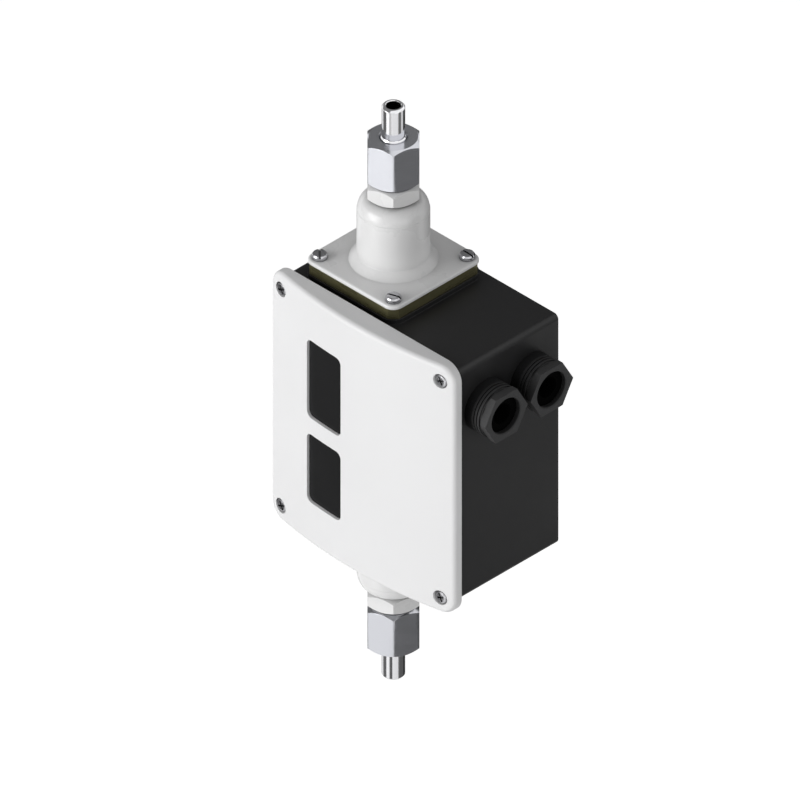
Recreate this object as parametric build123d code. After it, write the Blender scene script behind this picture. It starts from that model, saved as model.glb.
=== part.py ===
from build123d import *
import os
from math import radians, sqrt, tan

# Differential pressure switch: a moulded housing with a bowed front cover, a bellows
# element above and below it on one vertical pressure axis, and two cable glands on
# its right side. Millimetres. The origin is the middle of the housing's back face,
# +Z is up and the cover faces -Y. "Ahead" means that far in front of the back face.

# Housing
housing_width = 103.5
housing_height = 118.5
housing_depth = 61.6
housing_wall = 3.5
housing_back_wall = 4.0
housing_edge_radius = 2.8
housing_inner_radius = 1.5
housing_back_chamfer = 0.4
corner_post_leg = 16.0

# Pressure axis, left of the housing's middle
port_offset = 18.1
port_back_of_middle = 1.8
pad_margin = 6.6
pad_height = 2.25
pad_corner_radius = 6.5
port_hole_radius = 9.5

# Front cover
cover_side_overhang = 3.05
cover_end_overhang = 4.55
cover_corner_radius = 8.0
cover_lap = 0.5
cover_crown_rise = 9.9
cover_bow_sag = 6.34
cover_edge_radius = 2.2
cover_wall = 2.4
cover_screw_inset_x = 4.25
cover_screw_inset_z = 3.35
cover_screw_seat_rise = 2.8
cover_recess_radius = 3.5
cover_column_radius = 4.6
cover_column_foot_radius = 2.7
cover_column_gap = 0.4
cover_screw_head_radius = 3.15
cover_screw_head_height = 2.2
cover_screw_radius = 1.6
cover_screw_length = 12.5
cover_screw_clearance = 0.35
cover_thread_clearance = 0.15
cover_screw_turn = 25

# Gasket between the housing's rim and the cover's rib
gasket_thickness = 1.6
gasket_width = 2.6
gasket_inset = 0.45
gasket_corner_leg = 10.96
rib_inset = 0.2

# Windows in the cover
window_width = 21.7
upper_window_bottom = 1.6
upper_window_top = 41.7
lower_window_bottom = -42.0
lower_window_top = -6.8
window_corner_radius = 3.0
pane_sunk = 1.35
pane_clearance = 0.1
pane_lip = 2.0
pane_lip_thickness = 1.5

# Bellows cap: a drawn bell on a square flange
flange_margin = 1.0
flange_thickness = 1.7
flange_corner_radius = 5.0
flange_edge_radius = 1.1
bell_radius = 15.6
bell_wall = 1.2
bell_foot_radius = 19.05
bell_height = 32.8
bell_shoulder_radius = 7.0
bell_mouth_clearance = 0.05

# Seal plate between the flange and the housing's pad
seal_plate_margin = 1.4
seal_plate_thickness = 5.1
seal_plate_corner_leg = 3.4
seal_plate_edge = 0.5

# Screws through flange and seal plate
flange_screw_inset = 5.0
flange_screw_radius = 2.0
flange_screw_head_radius = 3.4
flange_screw_head_height = 2.5
flange_screw_length = 11.6
flange_screw_clearance = 0.25
thread_clearance = 0.05
flange_screw_turns = (-45, -34, 0, 20)

# Connector, union nut and weld nipple
across_flats = 22.0
hex_turn = -45.0
hex_face_radius = 10.45
hex_chamfer_angle = 37.0
connector_hex_height = 7.8
connector_thread_radius = 8.2
connector_thread_length = 13.7
connector_tail_radius = 6.4
connector_tail_length = 2.1
passage_radius = 3.25
union_nut_gap = 0.4
union_nut_height = 21.6
union_nut_end_wall = 3.4
union_nut_hole_chamfer = 0.8
nut_thread_clearance = 0.1
nipple_radius = 5.0
nipple_neck_radius = 5.5
nipple_reach = 16.25
nipple_tip_chamfer = 0.5
nipple_collar_radius = 7.3
nipple_hole_clearance = 0.15
washer_thickness = 1.4
washer_outer_radius = 7.2
washer_inner_radius = 4.2

# Bellows inside each cap
bellows_outer_radius = 12.4
bellows_inner_radius = 10.0
bellows_wall = 0.5
bellows_folds = 4
bellows_foot = 1.6
bellows_length = 23.4
bellows_end_thickness = 1.5

# Main spindle and what rides on it
spindle_radius = 3.0
spindle_press_clearance = 0.02
spindle_running_clearance = 0.05
seat_top = -1.0
seat_radius = 13.0
seat_thickness = 3.0
seat_hub_radius = 6.0
seat_hub_length = 4.0
follower_radius = 5.2
upper_follower_height = 2.8
lower_follower_height = 5.0
lower_follower_flats = 10.0
arm_play = 0.5

# Guide sleeve, setting disc, sliding plate and main spring
sleeve_radius = 8.0
sleeve_bore_radius = 4.5
sleeve_bottom = 15.0
sleeve_guide_length = 6.0
sleeve_collar_radius = 10.5
sleeve_collar_thickness = 2.0
sleeve_spigot_radius = 7.5
disc_bottom = 33.0
disc_hub_radius = 10.5
disc_hub_height = 2.0
disc_radius = 15.0
disc_height = 7.0
disc_flutes = 20
disc_flute_radius = 1.3
disc_edge_chamfer = 0.6
plate_thickness = 2.0
plate_radius = 12.8
plate_clearance = 0.3
spring_mean_radius = 10.4
spring_wire = 2.0
spring_turns = 6

# Mechanism frame, bent from sheet
frame_sheet = 2.0
frame_half_width = 12.0
frame_past_port = 18.0
frame_pad_height = 2.0
frame_bend_radius = 2.0
frame_screw_inset = 21.75
frame_lobe_top = -3.0
frame_lobe_bottom = -23.0
frame_lobe_reach = 24.0
frame_lobe_radius = 3.0
bush_radius = 8.0
bush_height = 6.0
bush_spigot_radius = 5.5

# Range scale
scale_left = 0.8
scale_width = 9.0
scale_thickness = 1.2
scale_gap = 1.3
scale_bottom = 8.0
scale_tab = 5.6
scale_screw_head_radius = 2.4

# Contact arm on its pivot pin
arm_lever = 18.0
arm_thickness = 3.0
arm_width = 12.0
arm_fork_end = 5.0
arm_fork_clearance = 0.3
arm_tip = 20.0
arm_tip_overhang = 3.0
arm_hub_radius = 5.5
arm_corner_radius = 2.0
pin_radius = 2.5
pin_shoulder_radius = 4.0
pin_end = 1.6
pin_end_play = 0.3
clip_thickness = 0.8
clip_radius = 4.5

# Switch block with plunger and terminals
block_left = 10.0
block_width = 28.0
block_top = -19.0
block_height = 27.0
block_back_ahead = 14.0
block_front_ahead = 38.0
block_step_height = 16.0
block_step_ahead = 32.0
block_edge_radius = 0.8
terminal_pitch = 8.6
terminal_count = 3
terminal_drop = 8.0
divider_thickness = 1.4
divider_ahead = 37.0
clamp_size = 6.4
clamp_thickness = 1.2
plunger_radius = 2.0
plunger_gap = 0.3
plunger_length = 11.0
plunger_well = 3.0
plunger_top_radius = 1.2
block_screw_inset_x = 3.6
block_screw_z = -26.0

# All screws: how the heads and tips are shaped
screw_tip_chamfer = 0.3
screw_edge_share = 0.18
slot_depth_share = 0.45
slot_width_share = 0.28
cross_length_share = 1.35

# Small screws: mechanism frame, switch block, scale, terminals and earth
small_screw_radius = 1.5
small_head_radius = 2.8
small_head_height = 1.9
small_boss_radius = 4.2
small_screw_grip = 2.6
small_screw_clearance = 0.25
frame_screw_turn = 40
block_screw_turn = 15
scale_screw_turn = 30
terminal_screw_turn = 60
earth_screw_turn = 10
earth_x = 38.0
earth_z = -4.0
earth_boss_ahead = 12.0

# Mounting holes in the back wall
mounting_hole_radius = 2.75
mounting_hole_inset = 13.25
mounting_boss_radius = 6.0
mounting_boss_height = 1.5

# Cable glands on the right side
gland_drop = 23.75
gland_spacing = 27.15
glands_ahead_of_middle = 0.125
gland_reach = 13.15
gland_flats = 22.0
gland_hex_height = 4.0
gland_hex_face_radius = 11.3
gland_collar_radius = 12.0
gland_collar_length = 5.0
gland_ridges = 3
gland_groove_width = 0.6
gland_groove_depth = 0.6
gland_mouth_radius = 8.45
gland_mouth_depth = 2.6
gland_mouth_chamfer = 0.5
gland_thread_radius = 9.2
gland_bore_radius = 6.0
gland_seat_radius = 8.0
gland_seat_depth = 3.7
gland_spigot_inside = 7.0
gland_nut_overlap = 3.2
gland_hole_clearance = 0.15
seal_bore_radius = 5.0
seal_clearance = 0.1
locknut_flats = 20.0
locknut_face_radius = 9.6
locknut_height = 4.0

# Places that follow from the sizes above
cover_width = housing_width + 2 * cover_side_overhang
cover_height = housing_height + 2 * cover_end_overhang
cover_back_ahead = housing_depth - cover_lap
cover_crown_ahead = housing_depth + cover_crown_rise
cover_bow_radius = ((cover_width / 2) ** 2 + cover_bow_sag ** 2) / (2 * cover_bow_sag)
cover_screw_span_x = housing_width - 2 * cover_screw_inset_x
cover_screw_span_z = housing_height - 2 * cover_screw_inset_z
cover_screw_seat_ahead = housing_depth + cover_screw_seat_rise
port_ahead = housing_depth / 2 - port_back_of_middle
pad_size = housing_depth - pad_margin
flange_size = pad_size - flange_margin
seal_plate_size = pad_size - seal_plate_margin
flange_screw_span = flange_size - 2 * flange_screw_inset
frame_ahead = port_ahead + frame_past_port
mounting_hole_span = housing_height - 2 * mounting_hole_inset
gland_z = housing_height / 2 - gland_drop
rear_gland_ahead = housing_depth / 2 + glands_ahead_of_middle - gland_spacing / 2
front_gland_ahead = rear_gland_ahead + gland_spacing
port_x = -port_offset
port_y = -port_ahead
pad_top = housing_height / 2 + pad_height
flange_bottom = pad_top + seal_plate_thickness
flange_top = flange_bottom + flange_thickness
bell_top = flange_top + bell_height
connector_hex_top = bell_top + connector_hex_height
thread_top = connector_hex_top + connector_thread_length
nut_bottom = connector_hex_top + union_nut_gap
nut_top = nut_bottom + union_nut_height
nipple_tip = nut_top + nipple_reach
collar_bottom = thread_top + washer_thickness
collar_top = nut_top - union_nut_end_wall
bellows_top = flange_bottom + bellows_length
spindle_top = bellows_top - bellows_end_thickness
inner_top = housing_height / 2 - housing_wall
frame_top = inner_top - frame_sheet
frame_screw_z = inner_top - frame_screw_inset
web_back = housing_back_wall + frame_pad_height
web_front = web_back + frame_sheet
arm_top = seat_top - seat_thickness - seat_hub_length - upper_follower_height - arm_play
arm_bottom = arm_top - arm_thickness
arm_z = (arm_top + arm_bottom) / 2
pivot_x = port_x + arm_lever
plunger_x = pivot_x + arm_tip
spring_top = disc_bottom - plate_thickness
housing_side = housing_width / 2
gland_front = housing_side + gland_reach
gland_collar_back = gland_front - gland_hex_height - gland_collar_length
seal_front = gland_front - gland_mouth_depth
spigot_front = gland_collar_back + gland_nut_overlap
seal_back = spigot_front - gland_seat_depth
gasket_front = housing_depth + gasket_thickness
cover_screw_places = [
    (x * cover_screw_span_x / 2, z * cover_screw_span_z / 2) for x in (-1, 1) for z in (-1, 1)
]
flange_screw_places = [(-1, -1), (-1, 1), (1, 1), (1, -1)]


def ahead(sketch, start, end):
    """Extrude an XZ sketch from start to end millimetres in front of the back face."""
    return Plane.XZ.offset(start) * extrude(sketch, end - start)


def turned(*points):
    """A solid of revolution about Z from (radius, height) points."""
    profile = make_face(Plane.XZ * Polyline(*points, close=True))
    return revolve(profile, Axis.Z)


def rod(radius, bottom, top):
    """A round bar along Z."""
    return extrude(Pos(0, 0, bottom) * Circle(radius), top - bottom)


def ring(outer, inner, bottom, top):
    """A round tube along Z."""
    return rod(outer, bottom, top) - rod(inner, bottom - 1, top + 1)


def hexagon(flats, bottom, top, face_radius, ends, turn=0.0):
    """A hexagonal bar along Z with its corners chamfered at the named ends."""
    corner = flats / sqrt(3)
    drop = (corner - face_radius) * tan(radians(hex_chamfer_angle))
    low = drop if "bottom" in ends else 0
    high = drop if "top" in ends else 0
    envelope = turned(
        (0, bottom),
        (face_radius if low else corner + 1, bottom),
        (corner + 0.01, bottom + low + 0.01),
        (corner + 0.01, top - high - 0.01),
        (face_radius if high else corner + 1, top),
        (0, top),
    )
    sides = RegularPolygon(flats / 2, 6, major_radius=False, rotation=turn)
    return extrude(Pos(0, 0, bottom) * sides, top - bottom) & envelope


def square_plate(size, corner, bottom, top):
    """A square plate with round corners."""
    return extrude(Pos(0, 0, bottom) * RectangleRounded(size, size, corner), top - bottom)


def at_port(piece):
    """Move a piece from the pressure axis's own frame to its place."""
    return Pos(port_x, port_y, 0) * piece


def facing_front(x, ahead_by, z):
    """The place of a piece whose own Z points out of the front."""
    return Plane((x, -ahead_by, z), x_dir=(1, 0, 0), z_dir=(0, -1, 0))


def facing_right(ahead_by, z):
    """The place of a piece whose own Z points out of the right side."""
    return Plane((0, -ahead_by, z), x_dir=(0, 1, 0), z_dir=(1, 0, 0))


def screw(radius, length, head_radius, head_height, turn=0.0, cross=False):
    """A screw with its head's seat at Z 0 and its shank below."""
    edge = screw_edge_share * head_height
    tip = screw_tip_chamfer
    body = turned(
        (0, -length),
        (radius - tip, -length),
        (radius, -length + tip),
        (radius, 0),
        (head_radius, 0),
        (head_radius, head_height - 2 * edge),
        (head_radius - edge, head_height - edge / 2),
        (head_radius - 3 * edge, head_height),
        (0, head_height),
    )
    slot_depth = slot_depth_share * head_height
    slot_width = slot_width_share * head_radius
    slot_length = cross_length_share * head_radius if cross else 3 * head_radius
    slot = Pos(0, 0, head_height - slot_depth / 2) * Box(slot_length, slot_width, slot_depth)
    body -= Rot(0, 0, turn) * slot
    if cross:
        body -= Rot(0, 0, turn + 90) * slot
    return body


def seal_outline(inset):
    """The gasket's path outline, inset from the housing's outer faces, inside the corner screws."""
    leg = gasket_corner_leg - (2 - sqrt(2)) * (inset - gasket_inset)
    shape = Rectangle(housing_width - 2 * inset, housing_height - 2 * inset)
    return chamfer(shape.vertices(), leg)


def seal_band(inset, width):
    """A closed band of the given width along the gasket's path."""
    return seal_outline(inset) - seal_outline(inset + width)


def bow(depth):
    """The round form that the cover's front follows, a given depth below its surface."""
    centre = cover_bow_radius - cover_crown_ahead
    return Pos(0, centre, 0) * Cylinder(cover_bow_radius - depth, 2 * cover_height)


def window_outline(bottom, top, grow):
    """One window's outline in XZ, grown on every side."""
    width = window_width + 2 * grow
    height = top - bottom + 2 * grow
    shape = RectangleRounded(width, height, window_corner_radius + grow)
    return Pos(port_x, (bottom + top) / 2) * shape


def make_housing():
    front = RectangleRounded(housing_width, housing_height, housing_edge_radius)
    outer = ahead(front, 0, housing_depth)
    back_edges = outer.faces().sort_by(Axis.Y)[-1].edges()
    outer = chamfer(back_edges, housing_back_chamfer)
    inner_width = housing_width - 2 * housing_wall
    inner_height = housing_height - 2 * housing_wall
    cavity = RectangleRounded(inner_width, inner_height, housing_inner_radius)
    body = outer - ahead(cavity, housing_back_wall, housing_depth + 1)
    post = Polyline((0, 0), (-corner_post_leg, 0), (0, -corner_post_leg), close=True)
    corner = Pos(housing_width / 2, housing_height / 2)
    posts = ahead(corner * make_face(post), 1, housing_depth) & outer
    for part in (posts, posts.mirror(Plane.YZ)):
        body += part
        body += part.mirror(Plane.XY)
    for side in (-1, 1):
        low = housing_height / 2 - housing_wall / 2
        pad = square_plate(pad_size, pad_corner_radius, low, pad_top)
        pad = pad - rod(port_hole_radius, 0, pad_top + 1)
        opening = rod(port_hole_radius, inner_top - 1, pad_top + 1)
        screw_holes = [
            Pos(x * flange_screw_span / 2, y * flange_screw_span / 2) *
            rod(flange_screw_radius + thread_clearance, inner_top - 1, pad_top + 1)
            for x, y in flange_screw_places
        ]
        if side < 0:
            pad = pad.mirror(Plane.XY)
            opening = opening.mirror(Plane.XY)
            screw_holes = [hole.mirror(Plane.XY) for hole in screw_holes]
        body += at_port(pad)
        body -= at_port(opening)
        for hole in screw_holes:
            body -= at_port(hole)
    for gland_ahead in (front_gland_ahead, rear_gland_ahead):
        inside = housing_side - housing_wall - 1
        hole = rod(gland_thread_radius + gland_hole_clearance, inside, housing_side + 1)
        body -= facing_right(gland_ahead, gland_z) * hole
    for side in (-1, 1):
        centre = Pos(0, side * mounting_hole_span / 2)
        boss_ahead = housing_back_wall + mounting_boss_height
        body += ahead(centre * Circle(mounting_boss_radius), 1, boss_ahead)
        body -= ahead(centre * Circle(mounting_hole_radius), -1, boss_ahead + 1)
    for x, z in cover_screw_places:
        depth = cover_screw_length - (cover_screw_seat_ahead - housing_depth) + 1
        hole = Pos(x, z) * Circle(cover_screw_radius + cover_thread_clearance)
        body -= ahead(hole, housing_depth - depth, housing_depth + 1)
    for x, z, top in boss_places():
        body += ahead(Pos(x, z) * Circle(small_boss_radius), 1, top)
        hole = Pos(x, z) * Circle(small_screw_radius + thread_clearance)
        body -= ahead(hole, top - small_screw_grip - 1, top + 1)
    return body


def boss_places():
    """Bosses on the back wall for small screws: x, z and how far ahead each one stands."""
    frame = [(port_x, z, web_back) for z in (-frame_screw_z, frame_screw_z)]
    block = [(x, block_screw_z, block_back_ahead) for x in block_screw_xs()]
    earth = [(earth_x, earth_z, earth_boss_ahead)]
    return frame + block + earth


def block_screw_xs():
    return (block_left + block_screw_inset_x, block_left + block_width - block_screw_inset_x)


def make_front_cover():
    outline = RectangleRounded(cover_width, cover_height, cover_corner_radius)
    outer = ahead(outline, cover_back_ahead, cover_crown_ahead + 1) & bow(0)
    front = outer.faces().filter_by(GeomType.CYLINDER).sort_by(SortBy.AREA)[-1]
    outer = fillet(front.edges(), cover_edge_radius)
    inner_outline = RectangleRounded(
        cover_width - 2 * cover_wall, cover_height - 2 * cover_wall, cover_corner_radius - cover_wall
    )
    inner = ahead(inner_outline, cover_back_ahead - 1, cover_crown_ahead) & bow(cover_wall)
    cover = outer - inner
    inside_wall = bow(cover_wall / 2)
    rib = seal_band(gasket_inset + rib_inset, gasket_width - 2 * rib_inset)
    cover += ahead(rib, gasket_front, cover_crown_ahead) & inside_wall
    for x, z in cover_screw_places:
        place = Pos(x, z)
        column = ahead(place * Circle(cover_column_radius), gasket_front, cover_crown_ahead)
        foot = place * Circle(cover_column_foot_radius)
        column += ahead(foot, housing_depth + cover_column_gap, cover_crown_ahead)
        cover += column & inside_wall
        recess = place * Circle(cover_recess_radius)
        cover -= ahead(recess, cover_screw_seat_ahead, cover_crown_ahead + 1)
        hole = place * Circle(cover_screw_radius + cover_screw_clearance)
        cover -= ahead(hole, cover_back_ahead - 1, cover_crown_ahead)
    for bottom, top in window_places():
        cover -= ahead(window_outline(bottom, top, 0), cover_back_ahead, cover_crown_ahead + 1)
    return cover


def window_places():
    return ((upper_window_bottom, upper_window_top), (lower_window_bottom, lower_window_top))


def make_window(bottom, top):
    """A pane that fills its opening from behind, with a lip behind the cover's wall."""
    plug = ahead(window_outline(bottom, top, -pane_clearance), cover_back_ahead, cover_crown_ahead)
    lip = ahead(window_outline(bottom, top, pane_lip), cover_back_ahead, cover_crown_ahead)
    lip_back = bow(cover_wall + pane_lip_thickness)
    return (plug & bow(pane_sunk)) - lip_back + ((lip & bow(cover_wall)) - lip_back)


def make_cover_gasket():
    return ahead(seal_band(gasket_inset, gasket_width), housing_depth, gasket_front)


def make_cover_screws():
    head = (cover_screw_head_radius, cover_screw_head_height)
    one = screw(cover_screw_radius, cover_screw_length, *head, cover_screw_turn, cross=True)
    return [facing_front(x, cover_screw_seat_ahead, z) * one for x, z in cover_screw_places]


def make_bellows_cap():
    flange = square_plate(flange_size, flange_corner_radius, flange_bottom, flange_top)
    flange = fillet(flange.faces().sort_by(Axis.Z)[-1].edges(), flange_edge_radius)
    foot_rise = bell_foot_radius - bell_radius
    bell = turned(
        (0, flange_bottom),
        (bell_foot_radius, flange_bottom),
        (bell_foot_radius, flange_top),
        (bell_radius, flange_top + foot_rise),
        (bell_radius, bell_top),
        (0, bell_top),
    )
    bell = fillet(bell.edges().group_by(Axis.Z)[-1], bell_shoulder_radius)
    inner_foot = bell_foot_radius - bell_wall
    inner = turned(
        (0, flange_bottom - 1),
        (inner_foot, flange_bottom - 1),
        (inner_foot, flange_top - bell_wall / 2),
        (bell_radius - bell_wall, flange_top - bell_wall / 2 + foot_rise),
        (bell_radius - bell_wall, bell_top - bell_wall),
        (0, bell_top - bell_wall),
    )
    inner = fillet(inner.edges().group_by(Axis.Z)[-1], bell_shoulder_radius - bell_wall)
    cap = flange + bell - inner
    cap -= rod(connector_tail_radius + bell_mouth_clearance, bell_top - 2 * bell_wall, bell_top + 1)
    for x, y in flange_screw_places:
        hole = rod(flange_screw_radius + flange_screw_clearance, flange_bottom - 1, flange_top + 1)
        cap -= Pos(x * flange_screw_span / 2, y * flange_screw_span / 2) * hole
    return cap


def make_seal_plate():
    outline = chamfer(Rectangle(seal_plate_size, seal_plate_size).vertices(), seal_plate_corner_leg)
    plate = extrude(Pos(0, 0, pad_top) * outline, seal_plate_thickness)
    plate = fillet(plate.edges().filter_by(Axis.Z), seal_plate_edge)
    plate -= rod(port_hole_radius, pad_top - 1, flange_bottom + 1)
    for x, y in flange_screw_places:
        hole = rod(flange_screw_radius + flange_screw_clearance, pad_top - 1, flange_bottom + 1)
        plate -= Pos(x * flange_screw_span / 2, y * flange_screw_span / 2) * hole
    return plate


def make_flange_screws():
    screws = []
    head = (flange_screw_head_radius, flange_screw_head_height)
    for (x, y), turn in zip(flange_screw_places, flange_screw_turns):
        one = screw(flange_screw_radius, flange_screw_length, *head, turn)
        screws.append(Pos(x * flange_screw_span / 2, y * flange_screw_span / 2, flange_top) * one)
    return screws


def make_connector():
    body = hexagon(across_flats, bell_top, connector_hex_top, hex_face_radius, "bottom top", hex_turn)
    body += rod(connector_tail_radius, bell_top - connector_tail_length, bell_top)
    body += rod(connector_thread_radius, connector_hex_top, thread_top)
    return body - rod(passage_radius, bell_top - connector_tail_length - 1, thread_top + 1)


def make_union_nut():
    body = hexagon(across_flats, nut_bottom, nut_top, hex_face_radius, "bottom top", hex_turn)
    body -= rod(connector_thread_radius + nut_thread_clearance, nut_bottom - 1, collar_top)
    hole = nipple_neck_radius + nipple_hole_clearance
    mouth = hole + union_nut_hole_chamfer
    return body - turned(
        (0, collar_top - 1),
        (hole, collar_top - 1),
        (hole, nut_top - union_nut_hole_chamfer),
        (mouth, nut_top),
        (mouth, nut_top + 1),
        (0, nut_top + 1),
    )


def make_weld_nipple():
    return turned(
        (passage_radius, collar_bottom),
        (nipple_collar_radius, collar_bottom),
        (nipple_collar_radius, collar_top),
        (nipple_neck_radius, collar_top),
        (nipple_neck_radius, nut_top),
        (nipple_radius, nut_top),
        (nipple_radius, nipple_tip - nipple_tip_chamfer),
        (nipple_radius - nipple_tip_chamfer, nipple_tip),
        (passage_radius, nipple_tip),
    )


def make_nipple_washer():
    return ring(washer_outer_radius, washer_inner_radius, thread_top, collar_bottom)


def make_bellows():
    """A folded tube, closed at the top and seated on the seal plate."""
    fold_span = bellows_length - bellows_foot - bellows_end_thickness
    pitch = fold_span / bellows_folds
    start = flange_bottom + bellows_foot
    outer = [(bellows_inner_radius, flange_bottom)]
    for fold in range(bellows_folds):
        outer.append((bellows_inner_radius, start + fold * pitch))
        outer.append((bellows_outer_radius, start + (fold + 0.5) * pitch))
    outer.append((bellows_inner_radius, start + fold_span))
    outer.append((bellows_inner_radius, bellows_top))
    inner = [(radius - bellows_wall, height) for radius, height in outer[:-1]]
    return turned(*outer, (0, bellows_top), (0, spindle_top), *reversed(inner))


def make_main_spindle():
    return rod(spindle_radius, -spindle_top, spindle_top)


def make_spring_seat():
    body = rod(seat_radius, seat_top - seat_thickness, seat_top)
    body += rod(seat_hub_radius, seat_top - seat_thickness - seat_hub_length, seat_top)
    return body - rod(spindle_radius + spindle_press_clearance, arm_bottom, seat_top + 1)


def make_follower_nuts():
    bore = rod(spindle_radius + spindle_press_clearance, -frame_top, 0)
    upper = rod(follower_radius, arm_top + arm_play, arm_top + arm_play + upper_follower_height)
    top = arm_bottom - arm_play
    bottom = top - lower_follower_height
    lower = hexagon(lower_follower_flats, bottom, top, follower_radius, "bottom top")
    return [upper - bore, lower - bore]


def make_main_spring():
    """A square-wire compression spring with ground ends, between the seat and the sliding plate."""
    height = spring_top - seat_top
    pitch = height / spring_turns
    path = Helix(pitch, height + pitch, spring_mean_radius)
    path = Pos(0, 0, seat_top - pitch / 2) * path
    wire = Plane(path @ 0, x_dir=(1, 0, 0), z_dir=path % 0) * Rectangle(spring_wire, spring_wire)
    coil = sweep(wire, path=path, is_frenet=True)
    return coil & rod(2 * spring_mean_radius, seat_top, spring_top)


def make_sliding_plate():
    return ring(plate_radius, sleeve_radius + plate_clearance, spring_top, disc_bottom)


def make_setting_disc():
    body = rod(disc_hub_radius, disc_bottom, disc_bottom + disc_hub_height)
    rim_bottom = disc_bottom + disc_hub_height
    rim = rod(disc_radius, rim_bottom, rim_bottom + disc_height)
    rim = chamfer(rim.edges().filter_by(GeomType.CIRCLE), disc_edge_chamfer)
    for flute in PolarLocations(disc_radius + disc_flute_radius / 2, disc_flutes):
        rim -= flute * rod(disc_flute_radius, rim_bottom - 1, rim_bottom + disc_height + 1)
    body += rim
    return body - rod(sleeve_radius + spindle_running_clearance, disc_bottom - 1, frame_top)


def make_guide_sleeve():
    collar_bottom_z = frame_top - sleeve_collar_thickness
    body = rod(sleeve_radius, sleeve_bottom, frame_top)
    body += rod(sleeve_collar_radius, collar_bottom_z, frame_top)
    body += rod(sleeve_spigot_radius, frame_top, inner_top)
    body -= rod(spindle_radius + spindle_running_clearance, sleeve_bottom - 1, inner_top + 1)
    return body - rod(sleeve_bore_radius, sleeve_bottom + sleeve_guide_length, inner_top + 1)


def make_mechanism_frame():
    """A web on the back wall, bent forward at both ends, with a lobe that carries the arm's pivot."""
    reach = frame_ahead - web_back
    channel = Rectangle(reach, 2 * inner_top) - Pos(frame_sheet, 0) * Rectangle(reach, 2 * frame_top)
    middle = (port_x - frame_half_width, -web_back - reach / 2, 0)
    side = Plane(middle, x_dir=(0, -1, 0), z_dir=(-1, 0, 0))
    body = side * extrude(channel, -2 * frame_half_width)
    corners = body.edges().filter_by(Axis.X).group_by(Axis.Y)[-1]
    body = fillet(corners, frame_bend_radius)
    lobe_height = frame_lobe_top - frame_lobe_bottom
    lobe = Pos(port_x + frame_lobe_reach / 2, (frame_lobe_top + frame_lobe_bottom) / 2)
    lobe *= RectangleRounded(frame_lobe_reach, lobe_height, frame_lobe_radius)
    body += ahead(lobe, web_back, web_front)
    body -= at_port(rod(sleeve_spigot_radius + thread_clearance, 0, inner_top + 1))
    body -= at_port(rod(bush_spigot_radius + thread_clearance, -inner_top - 1, 0))
    for z in (-frame_screw_z, frame_screw_z):
        hole = Pos(port_x, z) * Circle(small_screw_radius + small_screw_clearance)
        body -= ahead(hole, web_back - 1, web_front + 1)
    pin_hole = Pos(pivot_x, arm_z) * Circle(pin_radius + thread_clearance)
    body -= ahead(pin_hole, web_back - 1, web_front + 1)
    hole = rod(small_screw_radius + thread_clearance, frame_top - 1, inner_top + 1)
    return body - Pos(scale_screw_x(), scale_screw_y()) * hole


def make_frame_screws():
    length = frame_sheet + small_screw_grip
    one = screw(small_screw_radius, length, small_head_radius, small_head_height, frame_screw_turn)
    return [facing_front(port_x, web_front, z) * one for z in (-frame_screw_z, frame_screw_z)]


def make_lower_guide_bush():
    body = rod(bush_radius, -frame_top, -frame_top + bush_height)
    body += rod(bush_spigot_radius, -inner_top, -frame_top)
    return body - rod(spindle_radius + spindle_running_clearance, -inner_top - 1, 0)


def scale_screw_x():
    return port_x + scale_left + scale_width / 2


def scale_screw_y():
    return port_y - disc_radius - scale_gap + scale_tab / 2


def make_range_scale():
    """An upright scale plate in front of the setting disc, hung from the frame by a bent tab."""
    back = port_ahead + disc_radius + scale_gap
    front = back + scale_thickness
    height = frame_top - scale_bottom
    plate = Pos(scale_screw_x(), scale_bottom + height / 2) * Rectangle(scale_width, height)
    body = ahead(plate, back, front)
    tab = Pos(scale_screw_x(), frame_top - scale_thickness / 2) * Rectangle(scale_width, scale_thickness)
    body += ahead(tab, back - scale_tab, front)
    hole = rod(small_screw_radius + thread_clearance, scale_bottom, frame_top + 1)
    return body - Pos(scale_screw_x(), scale_screw_y()) * hole


def make_scale_screw():
    length = scale_thickness + frame_sheet
    one = screw(small_screw_radius, length, scale_screw_head_radius, small_head_height, scale_screw_turn)
    return Pos(scale_screw_x(), scale_screw_y(), frame_top - scale_thickness) * Rot(180, 0, 0) * one


def make_arm_pivot_pin():
    hub_back = port_ahead - arm_width / 2
    hub_front = port_ahead + arm_width / 2
    shoulder_end = hub_back - pin_end_play
    body = rod(pin_radius, web_back, hub_front + pin_end_play + clip_thickness + pin_end)
    body += rod(pin_shoulder_radius, web_front, shoulder_end)
    return facing_front(pivot_x, 0, arm_z) * body


def make_arm_clip():
    start = port_ahead + arm_width / 2 + pin_end_play
    clip = ring(clip_radius, pin_radius + spindle_press_clearance, start, start + clip_thickness)
    gap = Pos(0, -clip_radius, start) * Box(2 * pin_radius - 1, 2 * clip_radius, 4 * clip_thickness)
    return facing_front(pivot_x, 0, arm_z) * (clip - gap)


def make_contact_arm():
    """A lever with a fork round the spindle, a hub on the pivot pin and a tip above the plunger."""
    left = port_x - arm_fork_end
    right = plunger_x + arm_tip_overhang
    plate = Pos((left + right) / 2, port_y, arm_z) * Box(right - left, arm_width, arm_thickness)
    plate = fillet(plate.edges().filter_by(Axis.Z), arm_corner_radius)
    slot_radius = spindle_radius + arm_fork_clearance
    slot = at_port(rod(slot_radius, arm_bottom - 1, arm_top + 1))
    slot += Pos(left, port_y, arm_z) * Box(2 * arm_fork_end, 2 * slot_radius, 2 * arm_thickness)
    start = port_ahead - arm_width / 2
    hub = rod(arm_hub_radius, start, start + arm_width)
    bore = rod(pin_radius + spindle_running_clearance, start - 1, start + arm_width + 1)
    place = facing_front(pivot_x, 0, arm_z)
    return plate - slot + place * hub - place * bore


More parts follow.
